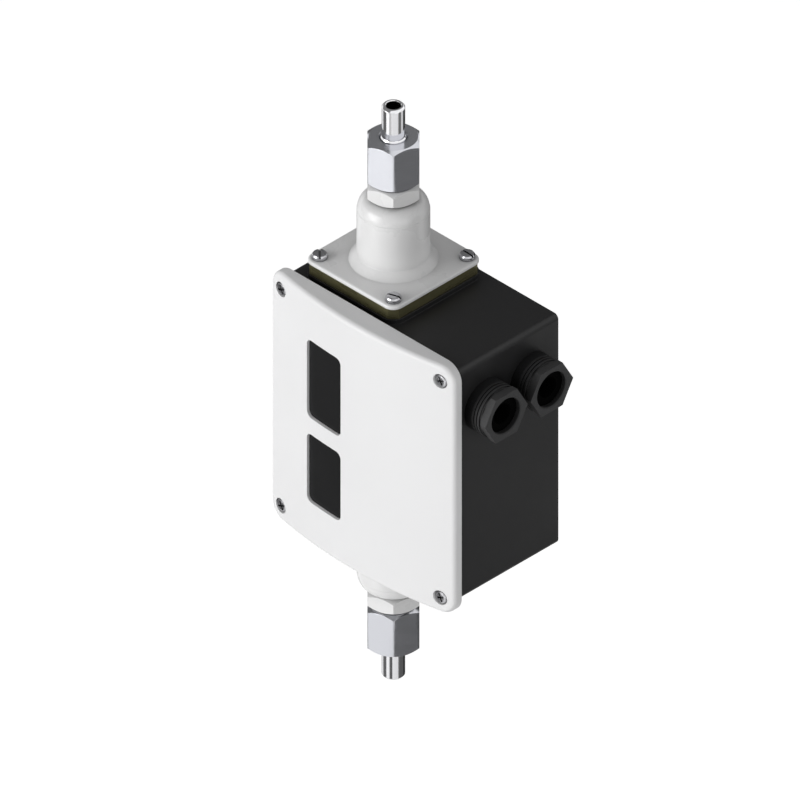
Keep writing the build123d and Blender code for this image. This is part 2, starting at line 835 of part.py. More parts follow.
def make_switch_block():
    """A moulded block with a stepped terminal shelf, dividers and a well for the plunger."""
    centre_x = block_left + block_width / 2
    upper_height = block_height - block_step_height
    upper = Pos(centre_x, block_top - upper_height / 2) * Rectangle(block_width, upper_height)
    lower = Pos(centre_x, block_top - block_height / 2) * Rectangle(block_width, block_height)
    body = ahead(lower, block_back_ahead, block_step_ahead)
    body += ahead(upper, block_back_ahead, block_front_ahead)
    body = fillet(body.edges().filter_by(Axis.Y), block_edge_radius)
    for index in range(terminal_count - 1):
        x = centre_x + (index - (terminal_count - 2) / 2) * terminal_pitch
        low = block_top - block_height
        divider = Pos(x, (low + block_top) / 2) * Rectangle(divider_thickness, block_height)
        body += ahead(divider, block_back_ahead, divider_ahead)
    for x in terminal_xs():
        hole = Pos(x, terminal_z()) * Circle(small_screw_radius + thread_clearance)
        body -= ahead(hole, block_step_ahead - small_screw_grip - 2, block_step_ahead + 1)
    for x in block_screw_xs():
        hole = Pos(x, block_screw_z) * Circle(small_screw_radius + small_screw_clearance)
        body -= ahead(hole, block_back_ahead - 1, block_front_ahead + 1)
    well_bottom = plunger_top() - plunger_length - plunger_well
    well = rod(plunger_radius + spindle_running_clearance, well_bottom, block_top + 1)
    return body - Pos(plunger_x, port_y) * well


def plunger_top():
    return arm_bottom - plunger_gap


def terminal_z():
    return block_top - block_height + terminal_drop


def terminal_xs():
    centre = block_left + block_width / 2
    first = centre - (terminal_count - 1) / 2 * terminal_pitch
    return [first + index * terminal_pitch for index in range(terminal_count)]


def make_switch_plunger():
    body = rod(plunger_radius, plunger_top() - plunger_length, plunger_top())
    body = fillet(body.edges().group_by(Axis.Z)[-1], plunger_top_radius)
    return Pos(plunger_x, port_y) * body


def make_block_screws():
    length = block_front_ahead - block_back_ahead + small_screw_grip
    one = screw(small_screw_radius, length, small_head_radius, small_head_height, block_screw_turn)
    return [facing_front(x, block_front_ahead, block_screw_z) * one for x in block_screw_xs()]


def clamp_plate():
    plate = extrude(Rectangle(clamp_size, clamp_size), clamp_thickness)
    return plate - rod(small_screw_radius + small_screw_clearance, -1, clamp_thickness + 1)


def make_terminal_clamps():
    return [facing_front(x, block_step_ahead, terminal_z()) * clamp_plate() for x in terminal_xs()]


def make_terminal_screws():
    seat = block_step_ahead + clamp_thickness
    length = clamp_thickness + small_screw_grip
    one = screw(small_screw_radius, length, small_head_radius, small_head_height, terminal_screw_turn)
    return [facing_front(x, seat, terminal_z()) * one for x in terminal_xs()]


def make_earth_clamp():
    return facing_front(earth_x, earth_boss_ahead, earth_z) * clamp_plate()


def make_earth_screw():
    length = clamp_thickness + small_screw_grip
    one = screw(small_screw_radius, length, small_head_radius, small_head_height, earth_screw_turn)
    return facing_front(earth_x, earth_boss_ahead + clamp_thickness, earth_z) * one


def make_gland_body():
    """A round-flanged screw body through the housing's wall, with a seat for the rubber seal."""
    inside = housing_side - housing_wall - gland_spigot_inside
    body = rod(gland_thread_radius, inside, spigot_front)
    body += rod(gland_collar_radius, housing_side, gland_collar_back)
    body -= rod(gland_bore_radius, inside - 1, spigot_front + 1)
    return body - rod(gland_seat_radius, seal_back, spigot_front + 1)


def make_gland_nut():
    """A cap nut: hexagonal front, round ridged collar behind."""
    hex_back = gland_front - gland_hex_height
    body = hexagon(gland_flats, hex_back, gland_front, gland_hex_face_radius, "bottom")
    body += rod(gland_collar_radius, gland_collar_back, hex_back)
    body -= rod(gland_thread_radius + nut_thread_clearance, gland_collar_back - 1, seal_front)
    wide = gland_mouth_radius + gland_mouth_chamfer
    mouth = turned(
        (0, gland_collar_back),
        (gland_mouth_radius, gland_collar_back),
        (gland_mouth_radius, gland_front - gland_mouth_chamfer),
        (wide, gland_front),
        (wide, gland_front + 1),
        (0, gland_front + 1),
    )
    pitch = gland_collar_length / gland_ridges
    for ridge in range(gland_ridges):
        top = hex_back - ridge * pitch
        groove_inner = gland_collar_radius - gland_groove_depth
        body -= ring(gland_collar_radius + 2, groove_inner, top - gland_groove_width, top)
    return body - mouth


def make_gland_seal():
    body = rod(gland_seat_radius - seal_clearance, seal_back, spigot_front)
    body += rod(gland_thread_radius, spigot_front, seal_front)
    return body - rod(seal_bore_radius, seal_back - 1, seal_front + 1)


def make_gland_locknut():
    top = housing_side - housing_wall
    body = hexagon(locknut_flats, top - locknut_height, top, locknut_face_radius, "bottom", 30)
    return body - rod(gland_thread_radius + thread_clearance, top - locknut_height - 1, top + 1)


def as_node(pieces):
    """One shape from a piece or a list of separate like pieces."""
    if isinstance(pieces, list):
        return Compound(children=[piece.solid() for piece in pieces])
    return pieces


def both_ends(name, piece):
    """The same piece above the housing and, mirrored, below it."""
    pieces = piece if isinstance(piece, list) else [piece]
    upper = [at_port(one) for one in pieces]
    lower = [at_port(one.mirror(Plane.XY)) for one in pieces]
    return {"upper_" + name: as_node(upper), "lower_" + name: as_node(lower)}


def build_nodes():
    nodes = {
        "housing": make_housing(),
        "front_cover": make_front_cover(),
        "cover_gasket": make_cover_gasket(),
        "cover_screws": make_cover_screws(),
        "upper_window": make_window(upper_window_bottom, upper_window_top),
        "lower_window": make_window(lower_window_bottom, lower_window_top),
        "main_spindle": at_port(make_main_spindle()),
        "spring_seat": at_port(make_spring_seat()),
        "follower_nuts": [at_port(nut) for nut in make_follower_nuts()],
        "main_spring": at_port(make_main_spring()),
        "sliding_plate": at_port(make_sliding_plate()),
        "setting_disc": at_port(make_setting_disc()),
        "guide_sleeve": at_port(make_guide_sleeve()),
        "mechanism_frame": make_mechanism_frame(),
        "frame_screws": make_frame_screws(),
        "lower_guide_bush": at_port(make_lower_guide_bush()),
        "range_scale": make_range_scale(),
        "scale_screw": make_scale_screw(),
        "arm_pivot_pin": make_arm_pivot_pin(),
        "arm_clip": make_arm_clip(),
        "contact_arm": make_contact_arm(),
        "switch_block": make_switch_block(),
        "switch_plunger": make_switch_plunger(),
        "block_screws": make_block_screws(),
        "terminal_clamps": make_terminal_clamps(),
        "terminal_screws": make_terminal_screws(),
        "earth_clamp": make_earth_clamp(),
        "earth_screw": make_earth_screw(),
    }
    nodes.update(both_ends("bellows_cap", make_bellows_cap()))
    nodes.update(both_ends("seal_plate", make_seal_plate()))
    nodes.update(both_ends("flange_screws", make_flange_screws()))
    nodes.update(both_ends("connector", make_connector()))
    nodes.update(both_ends("union_nut", make_union_nut()))
    nodes.update(both_ends("weld_nipple", make_weld_nipple()))
    nodes.update(both_ends("nipple_washer", make_nipple_washer()))
    nodes.update(both_ends("bellows", make_bellows()))
    gland_pieces = {
        "gland_body": make_gland_body(),
        "gland_nut": make_gland_nut(),
        "gland_seal": make_gland_seal(),
        "gland_locknut": make_gland_locknut(),
    }
    for side, gland_ahead in (("front", front_gland_ahead), ("rear", rear_gland_ahead)):
        for name, piece in gland_pieces.items():
            nodes[side + "_" + name] = facing_right(gland_ahead, gland_z) * piece
    return {name: as_node(piece) for name, piece in nodes.items()}


os.makedirs("parts", exist_ok=True)
for node_name, node_shape in build_nodes().items():
    export_step(node_shape, "parts/" + node_name + ".step")
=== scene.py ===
import math

import bmesh
import bpy
from mathutils import Matrix, Vector


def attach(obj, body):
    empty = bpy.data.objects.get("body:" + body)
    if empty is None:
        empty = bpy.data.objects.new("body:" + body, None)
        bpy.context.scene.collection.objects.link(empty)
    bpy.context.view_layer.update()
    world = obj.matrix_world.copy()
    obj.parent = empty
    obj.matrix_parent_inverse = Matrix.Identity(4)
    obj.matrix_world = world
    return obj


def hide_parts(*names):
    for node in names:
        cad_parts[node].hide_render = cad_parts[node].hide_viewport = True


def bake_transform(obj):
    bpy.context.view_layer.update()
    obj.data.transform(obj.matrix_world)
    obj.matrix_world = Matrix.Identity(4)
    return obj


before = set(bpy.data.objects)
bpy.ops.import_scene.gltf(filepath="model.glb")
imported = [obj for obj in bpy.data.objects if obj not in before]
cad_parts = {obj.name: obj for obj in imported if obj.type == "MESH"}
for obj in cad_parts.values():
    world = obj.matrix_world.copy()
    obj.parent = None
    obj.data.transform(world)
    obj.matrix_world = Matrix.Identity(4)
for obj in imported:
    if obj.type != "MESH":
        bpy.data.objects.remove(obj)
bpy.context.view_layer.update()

# housing
# The housing is one thick-walled thermoset moulding, matt black with a very fine grain
# from the mould and edges rubbed a little paler. It is screwed to the wall by its back.
HOUSING_BLACK = (0.0165, 0.0165, 0.0172)
HOUSING_RUBBED = (0.035, 0.035, 0.037)
GRAIN_DETAIL = 3.0
DRIFT_DETAIL = 4.0
DRIFT_LOW = 0.3
DRIFT_HIGH = 0.7
SMOOTHEST = 0.02
COAT_ROUGHNESS = 0.12
EDGE_SAMPLES = 4
WEAR_BEGINS = 0.98
WEAR_FULL = 0.8
WEAR_MOST = 0.85
CREASE_SAMPLES = 8
CREASE_OPEN = 0.35


def finish_material(name, colour, roughness, metallic=0.0, grain=900.0, grain_depth=0.00002,
                    drift=0.12, drift_scale=28.0, rough_drift=0.08, stretch=(1, 1, 1), worn=None,
                    edge=0.0003, coat=0.0, shine=0.5, crease_shade=None):
    """A shop finish: fine grain, slow drift in tone and gloss, and softly rounded edges.

    worn is the paler colour of rubbed edges, and the crease shade is the reach and depth of
    painted shade that darkens the colour in creases and where parts meet.
    """
    material = bpy.data.materials.new(name)
    material.use_nodes = True
    nodes = material.node_tree.nodes
    links = material.node_tree.links
    shader = nodes["Principled BSDF"]
    shader.inputs["Metallic"].default_value = metallic
    shader.inputs["Specular IOR Level"].default_value = shine
    shader.inputs["Coat Weight"].default_value = coat
    shader.inputs["Coat Roughness"].default_value = COAT_ROUGHNESS
    place = nodes.new("ShaderNodeTexCoord")
    mapping = nodes.new("ShaderNodeMapping")
    mapping.inputs["Scale"].default_value = stretch
    links.new(place.outputs["Object"], mapping.inputs["Vector"])

    fine = nodes.new("ShaderNodeTexNoise")
    fine.inputs["Scale"].default_value = grain
    fine.inputs["Detail"].default_value = GRAIN_DETAIL
    links.new(mapping.outputs["Vector"], fine.inputs["Vector"])
    slow = nodes.new("ShaderNodeTexNoise")
    slow.inputs["Scale"].default_value = drift_scale
    slow.inputs["Detail"].default_value = DRIFT_DETAIL
    links.new(mapping.outputs["Vector"], slow.inputs["Vector"])

    tone = nodes.new("ShaderNodeMix")
    tone.data_type = "RGBA"
    darker = [channel * (1 - drift) for channel in colour]
    lighter = [min(1.0, channel * (1 + drift)) for channel in colour]
    tone.inputs["A"].default_value = (*darker, 1)
    tone.inputs["B"].default_value = (*lighter, 1)
    links.new(slow.outputs["Fac"], tone.inputs["Factor"])

    soft = nodes.new("ShaderNodeBevel")
    soft.samples = EDGE_SAMPLES
    soft.inputs["Radius"].default_value = edge
    surface = tone.outputs["Result"]
    if worn:
        hard = nodes.new("ShaderNodeNewGeometry")
        meet = nodes.new("ShaderNodeVectorMath")
        meet.operation = "DOT_PRODUCT"
        links.new(soft.outputs["Normal"], meet.inputs[0])
        links.new(hard.outputs["Normal"], meet.inputs[1])
        wear = nodes.new("ShaderNodeMapRange")
        wear.inputs["From Min"].default_value = WEAR_BEGINS
        wear.inputs["From Max"].default_value = WEAR_FULL
        wear.inputs["To Max"].default_value = WEAR_MOST
        links.new(meet.outputs["Value"], wear.inputs["Value"])
        patchy = nodes.new("ShaderNodeMath")
        patchy.operation = "MULTIPLY"
        links.new(wear.outputs["Result"], patchy.inputs[0])
        links.new(slow.outputs["Fac"], patchy.inputs[1])
        rubbed = nodes.new("ShaderNodeMix")
        rubbed.data_type = "RGBA"
        rubbed.inputs["B"].default_value = (*worn, 1)
        links.new(patchy.outputs["Value"], rubbed.inputs["Factor"])
        links.new(surface, rubbed.inputs["A"])
        surface = rubbed.outputs["Result"]
    # Painted shade: an ambient-occlusion node darkens the base colour in creases, recesses and
    # where parts meet.
    if crease_shade:
        reach, depth = crease_shade
        hidden = nodes.new("ShaderNodeAmbientOcclusion")
        hidden.samples = CREASE_SAMPLES
        hidden.inputs["Distance"].default_value = reach
        painted_shade = nodes.new("ShaderNodeMapRange")
        painted_shade.inputs["From Min"].default_value = CREASE_OPEN
        painted_shade.inputs["To Min"].default_value = 1 - depth
        links.new(hidden.outputs["AO"], painted_shade.inputs["Value"])
        shaded_colour = nodes.new("ShaderNodeMix")
        shaded_colour.data_type = "RGBA"
        shaded_colour.blend_type = "MULTIPLY"
        shaded_colour.inputs["Factor"].default_value = 1.0
        links.new(surface, shaded_colour.inputs["A"])
        links.new(painted_shade.outputs["Result"], shaded_colour.inputs["B"])
        surface = shaded_colour.outputs["Result"]
    links.new(surface, shader.inputs["Base Color"])

    gloss = nodes.new("ShaderNodeMapRange")
    gloss.inputs["From Min"].default_value = DRIFT_LOW
    gloss.inputs["From Max"].default_value = DRIFT_HIGH
    gloss.inputs["To Min"].default_value = max(SMOOTHEST, roughness - rough_drift)
    gloss.inputs["To Max"].default_value = min(1.0, roughness + rough_drift)
    links.new(slow.outputs["Fac"], gloss.inputs["Value"])
    links.new(gloss.outputs["Result"], shader.inputs["Roughness"])

    bump = nodes.new("ShaderNodeBump")
    bump.inputs["Strength"].default_value = 1.0
    bump.inputs["Distance"].default_value = grain_depth
    links.new(fine.outputs["Fac"], bump.inputs["Height"])
    links.new(soft.outputs["Normal"], bump.inputs["Normal"])
    links.new(bump.outputs["Normal"], shader.inputs["Normal"])
    return material


def dress(material, *names):
    """Give the solids of these names a finish."""
    for name in names:
        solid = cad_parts[name]
        if not solid.material_slots:
            solid.data.materials.append(material)
        for place in solid.material_slots:
            place.material = material


# Painted shade: the crease shade darkens the housing round the glands, under the cover's rim and
# beside the seal plates.
housing_black = finish_material(
    "housing black", HOUSING_BLACK, roughness=0.46, grain=1500, grain_depth=0.00003,
    worn=HOUSING_RUBBED, edge=0.0005, shine=0.38, crease_shade=(0.0075, 0.75)
)
dress(housing_black, "housing")

# front cover
# The cover is a white thermoplastic moulding, bowed from side to side, with a satin face.
# Four captive screws hold it on the housing and a black gasket lies behind its rim.
COVER_WHITE = (0.83, 0.83, 0.835)
GASKET_BLACK = (0.012, 0.012, 0.012)
cover_white = finish_material(
    "cover white", COVER_WHITE, roughness=0.42, grain=2200, grain_depth=0.000012, drift=0.012,
    drift_scale=18, edge=0.0004
)
gasket_black = finish_material(
    "gasket black", GASKET_BLACK, roughness=0.75, grain=1200, grain_depth=0.00004
)
dress(cover_white, "front_cover")
dress(gasket_black, "cover_gasket")

# windows
# Two smoked panes, pressed into the cover from behind: glossy, with the dark inside of
# the housing hardly showing.
PANE_SMOKE = (0.016, 0.016, 0.0165)
pane_smoke = finish_material(
    "pane smoke", PANE_SMOKE, roughness=0.16, grain=60, grain_depth=0.000004, drift=0.1,
    rough_drift=0.03, edge=0.0002, shine=0.16
)
dress(pane_smoke, "upper_window", "lower_window")

# screws
# Bright zinc-plated steel screws, slotted in the flanges and cross recessed in the cover.
# Each goes through the piece that it holds; painted shade darkens its slots and the rim of its
# head.
SCREW_ZINC = (0.52, 0.52, 0.54)
screw_zinc = finish_material(
    "screw zinc", SCREW_ZINC, roughness=0.26, metallic=1.0, grain=2600, grain_depth=0.000003,
    drift=0.1, drift_scale=240, edge=0.00008, crease_shade=(0.0011, 0.85)
)
dress(screw_zinc, "cover_screws", "upper_flange_screws", "lower_flange_screws", "frame_screws",
      "scale_screw", "block_screws", "terminal_screws", "earth_screw")

# bellows caps
# Each cap is a steel bell drawn on a square flange and stove enamelled white. The one
# below is the same piece upside down. The enamel has a slight orange peel.
PORT = Vector((-0.0181, -0.029, 0.0))
ENAMEL_WHITE = (0.84, 0.84, 0.84)
FLANGE_SIDE = 0.054
FLANGE_BOTTOM = 0.0666
FLANGE_TOP = 0.0683
FLANGE_CORNER = 0.005
FLANGE_LIP = 0.0011
BELL_TOP = 0.1011
BELL_MOUTH = 0.00645
BELL_RADIUS = 0.0156
BELL_WALL = 0.0012
BELL_SHOULDER = 0.007
SHOULDER_STEPS = 12
LEDGE_DEPTH = 0.00018
LEDGE_DROP = 0.0002
FOOT_RADIUS = 0.01905
FOOT_SLOPE = math.radians(45)
FOOT_LIFT = 0.0002
FOOT_HOLLOW = 0.0005
FOOT_STEPS = 6
ROUND_STEPS = 96
MERGE_DISTANCE = 1e-7
LEVEL_SLACK = 1e-6
SHARP_ANGLE = math.radians(35)


def bell_outline(wall):
    """The bell from its foot to its crown, as (radius, height), a wall's thickness inwards."""
    foot_top = FLANGE_TOP - wall / 2
    points = [(FOOT_RADIUS - wall, FLANGE_BOTTOM + FOOT_LIFT), (FOOT_RADIUS - wall, foot_top)]
    hollow_across = BELL_RADIUS - wall + FOOT_HOLLOW
    hollow_up = foot_top + FOOT_RADIUS - BELL_RADIUS + FOOT_HOLLOW * math.tan(FOOT_SLOPE / 2)
    for step in range(FOOT_STEPS + 1):
        angle = math.pi + FOOT_SLOPE * (1 - step / FOOT_STEPS)
        points.append((hollow_across + FOOT_HOLLOW * math.cos(angle),
                       hollow_up + FOOT_HOLLOW * math.sin(angle)))
    shoulder_height = BELL_TOP - BELL_SHOULDER
    shoulder = BELL_SHOULDER - wall
    if not wall:
        points += [(BELL_RADIUS, shoulder_height - LEDGE_DROP),
                   (BELL_RADIUS - LEDGE_DEPTH, shoulder_height)]
        shoulder -= LEDGE_DEPTH
    for step in range(SHOULDER_STEPS + 1):
        angle = math.pi / 2 * step / SHOULDER_STEPS
        points.append((BELL_RADIUS - BELL_SHOULDER + shoulder * math.cos(angle),
                       shoulder_height + shoulder * math.sin(angle)))
    return points


def spin_outline(mesh, outline):
    """Spin a closed outline of (radius, height) points about the pressure axis."""
    corners = [mesh.verts.new((PORT.x + radius, PORT.y, height)) for radius, height in outline]
    edges = [mesh.edges.new((corners[i - 1], corners[i])) for i in range(len(corners))]
    bmesh.ops.spin(mesh, geom=corners + edges, cent=PORT, axis=(0, 0, 1), angle=math.tau,
                   steps=ROUND_STEPS, use_merge=True, use_duplicate=False)
    bmesh.ops.remove_doubles(mesh, verts=mesh.verts, dist=MERGE_DISTANCE)
    bmesh.ops.recalc_face_normals(mesh, faces=mesh.faces)


def join_shell(mesh, shell):
    """Put a second closed shell into a piece's mesh."""
    joined = bpy.data.meshes.new("shell")
    shell.to_mesh(joined)
    shell.free()
    mesh.from_mesh(joined)
    bpy.data.meshes.remove(joined)


def make_object(name, mesh, material):
    """Put a mesh into the scene as an object with one finish."""
    data = bpy.data.meshes.new(name)
    mesh.to_mesh(data)
    mesh.free()
    data.materials.append(material)
    made = bpy.data.objects.new(name, data)
    bpy.context.scene.collection.objects.link(made)
    return made


def fit_piece(name, mesh, material, body, node, below=False):
    """Make a mesh the piece that stands for a solid; below turns the upper one over."""
    if below:
        bmesh.ops.transform(mesh, matrix=Matrix.Scale(-1, 4, (0, 0, 1)), verts=mesh.verts)
        bmesh.ops.reverse_faces(mesh, faces=mesh.faces)
    piece = make_object(name, mesh, material)
    piece.data.shade_smooth()
    piece.data.set_sharp_from_angle(angle=SHARP_ANGLE)
    if body:
        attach(piece, body)
    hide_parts(node)
    return piece


# Painted shade: the crease shade darkens the enamel where the bell meets its flange and round the
# foot of the connector hexagon.
enamel_white = finish_material(
    "enamel white", ENAMEL_WHITE, roughness=0.3, grain=420, grain_depth=0.00005, drift=0.015,
    edge=0.0003, coat=0.16, crease_shade=(0.007, 0.5)
)
for end, below in (("upper", False), ("lower", True)):
    cap = bmesh.new()
    flange_thick = FLANGE_TOP - FLANGE_BOTTOM
    flange_place = Matrix.Translation((PORT.x, PORT.y, (FLANGE_TOP + FLANGE_BOTTOM) / 2))
    flange_size = Matrix.Diagonal((FLANGE_SIDE, FLANGE_SIDE, flange_thick, 1))
    bmesh.ops.create_cube(cap, size=1, matrix=flange_place @ flange_size)
    upright = [edge for edge in cap.edges
               if abs(edge.verts[0].co.z - edge.verts[1].co.z) > flange_thick / 2]
    bmesh.ops.bevel(cap, geom=upright, offset=FLANGE_CORNER, affect="EDGES", segments=10,
                    profile=0.5, material=-1)
    rim = [edge for edge in cap.edges
           if min(vert.co.z for vert in edge.verts) > FLANGE_TOP - LEVEL_SLACK]
    bmesh.ops.bevel(cap, geom=rim, offset=FLANGE_LIP, affect="EDGES", segments=5, profile=0.5,
                    material=-1)
    bell = bmesh.new()
    mouth = [(BELL_MOUTH, BELL_TOP), (BELL_MOUTH, BELL_TOP - BELL_WALL)]
    spin_outline(bell, bell_outline(0.0) + mouth + bell_outline(BELL_WALL)[::-1])
    join_shell(cap, bell)
    fit_piece(end + "_bellows_cap_enamelled", cap, enamel_white, "root",
              end + "_bellows_cap", below)

# seal plates
# A thick olive-passivated plate lies between each flange and the housing. Its cut edges
# are darker where they meet the housing and the flange: painted shade.
SEAL_OLIVE = (0.16, 0.15, 0.075)
SEAL_RUBBED = (0.3, 0.29, 0.24)
seal_olive = finish_material(
    "seal olive", SEAL_OLIVE, roughness=0.3, metallic=0.6, grain=700, grain_depth=0.00001,
    drift=0.25, drift_scale=60, stretch=(1, 1, 3), worn=SEAL_RUBBED, edge=0.0005,
    crease_shade=(0.003, 0.5)
)
dress(seal_olive, "upper_seal_plate", "lower_seal_plate")

# pipe unions
# Over each cap stand an enamelled hexagon connector, a plated steel union nut and a bright
# steel nipple for welding to the pipe. Hexagons are turned first and milled after.
NUT_STEEL = (0.66, 0.67, 0.71)
NIPPLE_STEEL = (0.86, 0.86, 0.88)
HEX_FLATS = 0.022
HEX_TURN = math.radians(-15)
HEX_FACE = 0.01045
HEX_SLOPE = math.radians(37)
HEX_SPARE = 0.0001
HEX_EDGE_ROUND = 0.00008
HEX_EDGE_ANGLE = math.radians(50)
HEX_EDGE_SHARE = 0.6
MILL_SLACK = 1e-8
CONNECTOR_TOP = 0.1089
CONNECTOR_HOLE = 0.0082
CORE_RADIUS = 0.00825
CORE_TOP = 0.1226
SPIGOT_RADIUS = 0.0064
SPIGOT_DEPTH = 0.0021
NUT_BOTTOM = 0.1093
NUT_TOP = 0.1309
NUT_ROOF = 0.1275
NUT_HOLE = 0.00553
NUT_HOLE_CHAMFER = 0.0008
NUT_THREAD = 0.0083
NIPPLE_RADIUS = 0.005
NIPPLE_NECK = 0.0055
NIPPLE_NECK_SLOPE = 0.0007
NIPPLE_BORE = 0.00325
NIPPLE_BORE_CHAMFER = 0.0003
NIPPLE_COLLAR = 0.0073
NIPPLE_FOOT = 0.124
NIPPLE_TIP = 0.14715
NIPPLE_TIP_ROUND = ((0.0, 0.001), (0.0006, 0.0002), (0.0009, 0.0))


def turned_side(bottom, top):
    """The side of a hexagon's turned blank, wide enough for its corners, chamfered both ends."""
    corner = HEX_FLATS / math.sqrt(3) + HEX_SPARE
    drop = (corner - HEX_FACE) * math.tan(HEX_SLOPE)
    return [(HEX_FACE, bottom), (corner, bottom + drop), (corner, top - drop), (HEX_FACE, top)]


def milled_hexagon(mesh, outline, height):
    """Spin the turned blank, mill six flats on it, and break the edges between them."""
    spin_outline(mesh, outline)
    for side in range(6):
        angle = HEX_TURN + side * math.pi / 3
        out = Vector((math.cos(angle), math.sin(angle), 0))
        blank = mesh.verts[:] + mesh.edges[:] + mesh.faces[:]
        cut = bmesh.ops.bisect_plane(mesh, geom=blank, dist=MILL_SLACK, plane_no=out,
                                     plane_co=PORT + out * HEX_FLATS / 2, clear_outer=True)
        edges = [item for item in cut["geom_cut"] if isinstance(item, bmesh.types.BMEdge)]
        bmesh.ops.edgeloop_fill(mesh, edges=edges)
    bmesh.ops.remove_doubles(mesh, verts=mesh.verts, dist=MERGE_DISTANCE)
    bmesh.ops.recalc_face_normals(mesh, faces=mesh.faces)
    upright = [
        edge for edge in mesh.edges
        if len(edge.link_faces) == 2 and edge.calc_face_angle() > HEX_EDGE_ANGLE
        and abs(edge.verts[0].co.z - edge.verts[1].co.z) > HEX_EDGE_SHARE * height
    ]
    bmesh.ops.bevel(mesh, geom=upright, offset=HEX_EDGE_ROUND, affect="EDGES", segments=2,
                    profile=0.5, material=-1)


# Painted shade: the nut steel's crease shade darkens it a little where it meets the connector and
# the nipple.
nut_steel = finish_material(
    "nut steel", NUT_STEEL, roughness=0.17, metallic=1.0, grain=1400, grain_depth=0.000002,
    drift=0.02, drift_scale=90, rough_drift=0.03, stretch=(1, 1, 6), edge=0.00012,
    crease_shade=(0.003, 0.3)
)
nipple_steel = finish_material(
    "nipple steel", NIPPLE_STEEL, roughness=0.08, metallic=1.0, grain=1100, grain_depth=0.000002,
    drift=0.05, drift_scale=60, rough_drift=0.04, stretch=(1, 1, 14), edge=0.0002
)
for end, below in (("upper", False), ("lower", True)):
    connector = bmesh.new()
    milled_hexagon(connector, [(CONNECTOR_HOLE, BELL_TOP), *turned_side(BELL_TOP, CONNECTOR_TOP),
                               (CONNECTOR_HOLE, CONNECTOR_TOP)], CONNECTOR_TOP - BELL_TOP)
    core = bmesh.new()
    spigot_foot = BELL_TOP - SPIGOT_DEPTH
    spin_outline(core, [
        (NIPPLE_BORE, spigot_foot), (SPIGOT_RADIUS, spigot_foot), (SPIGOT_RADIUS, BELL_TOP),
        (CORE_RADIUS, BELL_TOP), (CORE_RADIUS, CORE_TOP), (NIPPLE_BORE, CORE_TOP),
    ])
    join_shell(connector, core)
    fit_piece(end + "_connector_hex", connector, enamel_white, "root",
              end + "_connector", below)

    nut = bmesh.new()
    milled_hexagon(nut, turned_side(NUT_BOTTOM, NUT_TOP) + [
        (NUT_HOLE + NUT_HOLE_CHAMFER, NUT_TOP), (NUT_HOLE, NUT_TOP - NUT_HOLE_CHAMFER),
        (NUT_HOLE, NUT_ROOF), (NUT_THREAD, NUT_ROOF), (NUT_THREAD, NUT_BOTTOM),
    ], NUT_TOP - NUT_BOTTOM)
    fit_piece(end + "_union_nut_milled", nut, nut_steel, "root",
              end + "_union_nut", below)

    nipple = bmesh.new()
    spin_outline(nipple, [
        (NIPPLE_BORE, NIPPLE_FOOT), (NIPPLE_COLLAR, NIPPLE_FOOT), (NIPPLE_COLLAR, NUT_ROOF),
        (NIPPLE_NECK, NUT_ROOF), (NIPPLE_NECK, NUT_TOP),
        (NIPPLE_RADIUS, NUT_TOP + NIPPLE_NECK_SLOPE),
        *((NIPPLE_RADIUS - inwards, NIPPLE_TIP - down) for inwards, down in NIPPLE_TIP_ROUND),
        (NIPPLE_BORE + NIPPLE_BORE_CHAMFER, NIPPLE_TIP),
        (NIPPLE_BORE, NIPPLE_TIP - NIPPLE_BORE_CHAMFER),
    ])
    fit_piece(end + "_weld_nipple_turned", nipple, nipple_steel, "root",
              end + "_weld_nipple", below)

# nipple washers
# A flat ring of soft aluminium lies between each connector and its nipple. The union nut
# squeezes it tight, so its faces are dull and lightly scored.
WASHER_ALUMINIUM = (0.62, 0.62, 0.63)
washer_aluminium = finish_material(
    "washer aluminium", WASHER_ALUMINIUM, roughness=0.4, metallic=1.0, grain=1300, drift=0.08
)
dress(washer_aluminium, "upper_nipple_washer", "lower_nipple_washer")

# cable glands
# Two glands of black nylon screw into the right wall: a flanged body, a cap nut with a
# ridged collar and a hexagon, a rubber seal inside and a locknut behind the wall.
# Painted shade: the bodies and locknuts take a darker copy of the nut's nylon for the shadow
# round the collar, and both nylons' crease shade darkens them near the wall.
GLAND_NUT_BLACK = (0.055, 0.055, 0.056)
GLAND_NUT_RUBBED = (0.08, 0.08, 0.08)
GLAND_BODY_SHADED_BLACK = (0.021, 0.021, 0.022)
GLAND_BODY_SHADED_RUBBED = (0.04, 0.04, 0.04)
GLAND_RUBBER = (0.001, 0.001, 0.001)
gland_nylon = finish_material(
    "gland nylon", GLAND_NUT_BLACK, roughness=0.6, grain=1300, worn=GLAND_NUT_RUBBED, shine=0.2,
    crease_shade=(0.012, 0.9)
)
gland_rubber = finish_material(
    "gland rubber", GLAND_RUBBER, roughness=0.9, grain_depth=0.00004, shine=0.03
)
gland_body_shaded_nylon = finish_material(
    "gland body painted shade", GLAND_BODY_SHADED_BLACK, roughness=0.6, grain=1300, worn=GLAND_BODY_SHADED_RUBBED,
    shine=0.16, crease_shade=(0.012, 0.9)
)
dress(gland_nylon, "front_gland_nut", "rear_gland_nut")
dress(gland_body_shaded_nylon, "front_gland_body", "rear_gland_body", "front_gland_locknut",
      "rear_gland_locknut")
dress(gland_rubber, "front_gland_seal", "rear_gland_seal")

